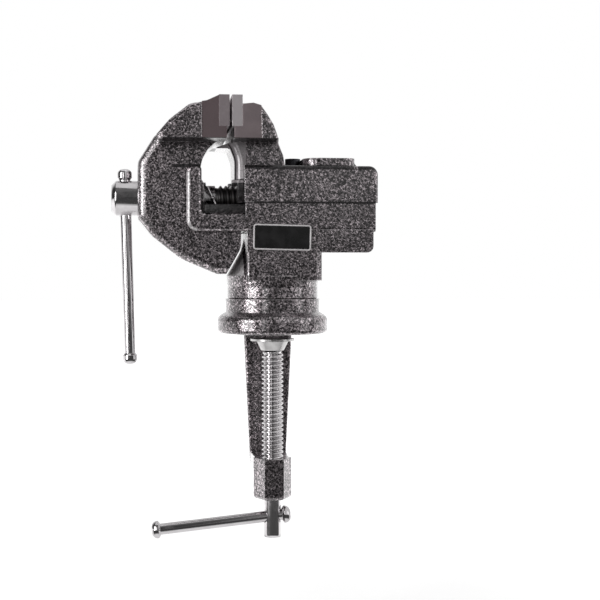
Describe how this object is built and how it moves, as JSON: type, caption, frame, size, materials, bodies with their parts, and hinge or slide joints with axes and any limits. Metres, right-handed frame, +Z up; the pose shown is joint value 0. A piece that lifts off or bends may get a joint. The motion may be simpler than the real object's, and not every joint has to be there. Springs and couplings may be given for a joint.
{
  "type": "bench vise",
  "caption": "Small swivelling bench vise with steel-faced jaws, an anvil land and a screw clamp that holds it to a table edge.",
  "frame": {"origin": "on the swivel axis, in the plane of the bench seat: the underside of the base's round flange", "axes": "+Z up along the swivel axis, +X from the spindle's head towards the anvil, +Y towards the clamp's arm"},
  "size_m": [0.1175, 0.0663, 0.1961],
  "materials": {
    "painted_casting": "dark grey hammertone paint on cast iron",
    "jaw_steel": "ground steel",
    "screw_steel": "plain steel",
    "dark_steel": "oiled dark steel",
    "black_steel": "black oxide",
    "zinc_steel": "bright zinc plate",
    "bright_steel": "polished head, dark oiled thread",
    "chrome_plate": "bright chrome plate"
  },
  "bodies": {
    "clamp_base": {"clamp_frame": "painted_casting"},
    "upper_body": {"fixed_body": "painted_casting", "rear_jaw_plate": "jaw_steel", "rear_jaw_screws": "screw_steel", "spindle_nut": "dark_steel", "nut_lock_screw": "black_steel", "swivel_pivot_bolt": "zinc_steel", "swivel_spring_washer": "zinc_steel", "swivel_washer": "zinc_steel"},
    "movable_jaw": {"movable_jaw": "painted_casting", "front_jaw_plate": "jaw_steel", "front_jaw_screws": "screw_steel"},
    "main_spindle": {"main_spindle": "bright_steel", "spindle_thrust_washer": "zinc_steel", "spindle_retaining_washer": "dark_steel", "spindle_split_pin": "zinc_steel"},
    "spindle_handle": {"spindle_handle_bar": "chrome_plate", "spindle_handle_top_cap": "chrome_plate", "spindle_handle_bottom_cap": "chrome_plate"},
    "clamp_pad": {"clamp_pad": "zinc_steel"},
    "clamp_screw": {"clamp_screw": "zinc_steel", "pad_retaining_ring": "dark_steel"},
    "clamp_handle": {"clamp_handle_bar": "chrome_plate", "clamp_handle_left_cap": "chrome_plate", "clamp_handle_right_cap": "chrome_plate"}
  },
  "joints": [
    {"name": "swivel", "type": "hinge", "parent": "clamp_base", "child": "upper_body", "pos_m": [0, 0, 0.0156], "axis": [0, 0, 1], "continuous": true},
    {"name": "jaw_slide", "type": "slide", "parent": "upper_body", "child": "movable_jaw", "axis": [-1, 0, 0], "range_m": [-0.001, 0.044]},
    {"name": "spindle_turn", "type": "hinge", "parent": "movable_jaw", "child": "main_spindle", "pos_m": [-0.0603, 0, 0.0606], "axis": [-1, 0, 0], "range_deg": [-145, 6337]},
    {"name": "spindle_handle_slide", "type": "slide", "parent": "main_spindle", "child": "spindle_handle", "axis": [-0.0305, 0, 0.9995], "range_m": [0, 0.061]},
    {"name": "clamp_pad_lift", "type": "slide", "parent": "clamp_base", "child": "clamp_pad", "axis": [0, 0, -1], "range_m": [-0.0024, 0.046]},
    {"name": "clamp_screw_turn", "type": "hinge", "parent": "clamp_pad", "child": "clamp_screw", "pos_m": [0, 0, -0.0079], "axis": [0, 0, -1], "range_deg": [-433, 8281]},
    {"name": "clamp_handle_slide", "type": "slide", "parent": "clamp_screw", "child": "clamp_handle", "axis": [0.9951, 0, 0.0993], "range_m": [0, 0.0462]}
  ],
  "couplings": [
    {"joint": "spindle_turn", "follows": "jaw_slide", "rad_per_m": 2513.3},
    {"joint": "clamp_screw_turn", "follows": "clamp_pad_lift", "rad_per_m": 3141.6}
  ]
}
